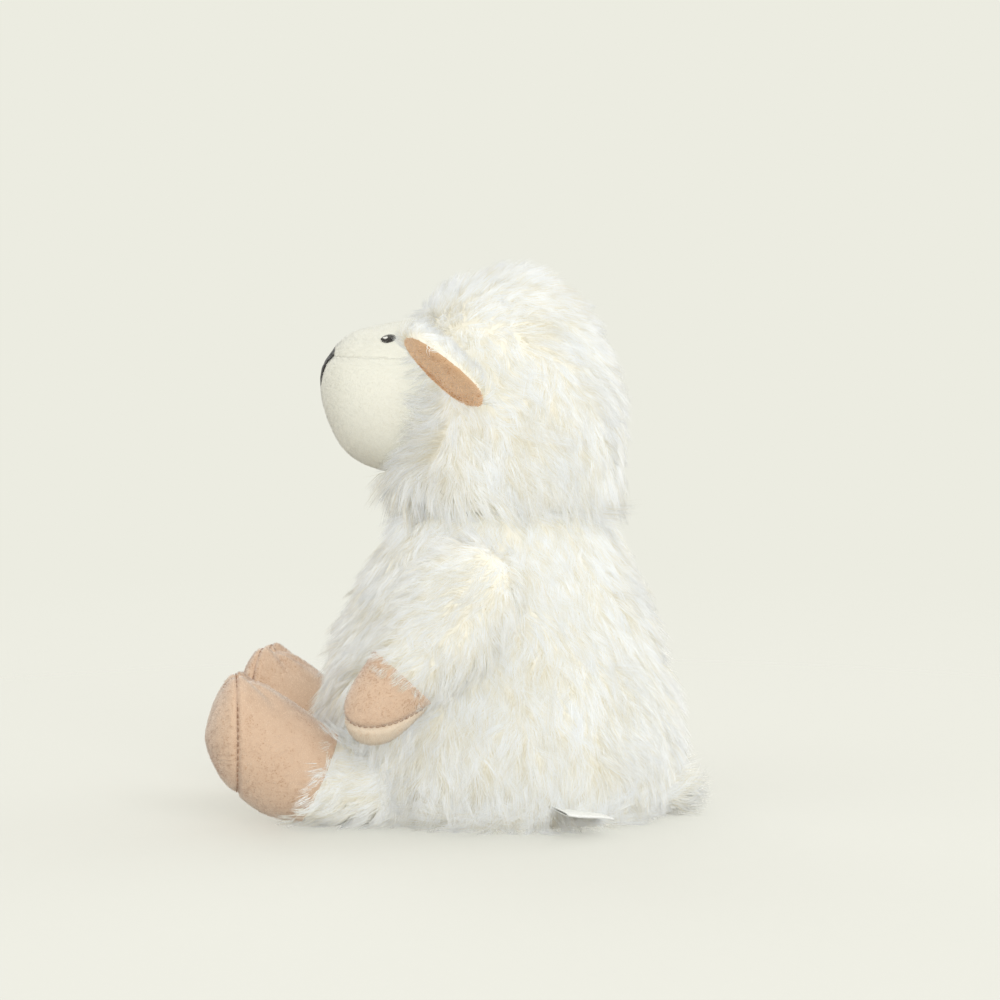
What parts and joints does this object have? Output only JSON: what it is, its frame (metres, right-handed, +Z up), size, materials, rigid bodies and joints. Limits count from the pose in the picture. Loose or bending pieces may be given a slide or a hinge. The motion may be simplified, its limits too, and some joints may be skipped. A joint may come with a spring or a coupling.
{
  "type": "plush sheep",
  "caption": "Seated stuffed sheep with long-pile covers, smooth muzzle, hands and feet, and a weighted seat.",
  "frame": {"origin": "centre of the flat seat, on the surface that the sheep sits on", "axes": "+Z up, the sheep faces -Y, its left side is +X"},
  "size_m": [0.2024, 0.2177, 0.2463],
  "materials": {
    "fur": "long white pile, about 12 mm, clumped and combed down",
    "muzzle_plush": "smooth short cream plush",
    "beige_plush": "short beige plush with a brushed nap",
    "thread": "black satin-stitch embroidery",
    "highlight_thread": "white satin-stitch highlight",
    "filling": "white polyester fibre filling",
    "pouch_cloth": "plain woven cotton",
    "pellets": "loose pellets",
    "label": "plain white satin ribbon, bare"
  },
  "bodies": {
    "torso": {"torso_front_panel": "fur", "torso_back_left_panel": "fur", "torso_back_right_panel": "fur", "seat_panel": "fur", "torso_filling": "filling", "pouch_upper_panel": "pouch_cloth", "pouch_lower_panel": "pouch_cloth", "pellet_fill": "pellets", "tail_cover": "fur", "side_label": "label"},
    "head": {"head_left_cover": "fur", "head_right_cover": "fur", "muzzle_upper_panel": "muzzle_plush", "muzzle_lower_panel": "muzzle_plush", "nose_embroidery": "thread", "head_filling": "filling", "left_eye": "thread", "left_eye_highlight": "highlight_thread", "right_eye": "thread", "right_eye_highlight": "highlight_thread"},
    "left_ear": {"left_ear_lining": "beige_plush", "left_ear_back": "fur"},
    "left_arm": {"left_arm_sleeve": "fur", "left_hand_back_panel": "beige_plush", "left_hand_palm_panel": "beige_plush", "left_arm_filling": "filling"},
    "left_leg": {"left_leg_sleeve": "fur", "left_foot_upper": "beige_plush", "left_foot_sole": "beige_plush", "left_toe_stitch": "thread", "left_leg_filling": "filling"},
    "right_ear": {"right_ear_lining": "beige_plush", "right_ear_back": "fur"},
    "right_arm": {"right_arm_sleeve": "fur", "right_hand_back_panel": "beige_plush", "right_hand_palm_panel": "beige_plush", "right_arm_filling": "filling"},
    "right_leg": {"right_leg_sleeve": "fur", "right_foot_upper": "beige_plush", "right_foot_sole": "beige_plush", "right_toe_stitch": "thread", "right_leg_filling": "filling"}
  },
  "joints": [
    {"name": "neck_turn", "type": "hinge", "parent": "torso", "child": "head", "pos_m": [0, -0.007, 0.138], "axis": [0, 0, 1], "range_deg": [-25, 25]},
    {"name": "left_ear_flap", "type": "hinge", "parent": "head", "child": "left_ear", "pos_m": [0.055, -0.0215, 0.197], "axis": [0.4882, 0.7703, -0.4102], "range_deg": [-25, 30]},
    {"name": "left_arm_lift", "type": "hinge", "parent": "torso", "child": "left_arm", "pos_m": [0.05697, -0.00675, 0.12259], "axis": [-0.1045, -0.9945, 0], "range_deg": [0, 50]},
    {"name": "left_leg_splay", "type": "hinge", "parent": "torso", "child": "left_leg", "pos_m": [0.038, -0.048, 0], "axis": [0, 0, 1], "range_deg": [-5, 18]},
    {"name": "right_ear_flap", "type": "hinge", "parent": "head", "child": "right_ear", "pos_m": [-0.055, -0.0215, 0.197], "axis": [0.4882, -0.7703, 0.4102], "range_deg": [-25, 30]},
    {"name": "right_arm_lift", "type": "hinge", "parent": "torso", "child": "right_arm", "pos_m": [-0.05697, -0.00675, 0.12259], "axis": [-0.1045, 0.9945, 0], "range_deg": [0, 50]},
    {"name": "right_leg_splay", "type": "hinge", "parent": "torso", "child": "right_leg", "pos_m": [-0.038, -0.048, 0], "axis": [0, 0, -1], "range_deg": [-5, 18]}
  ]
}
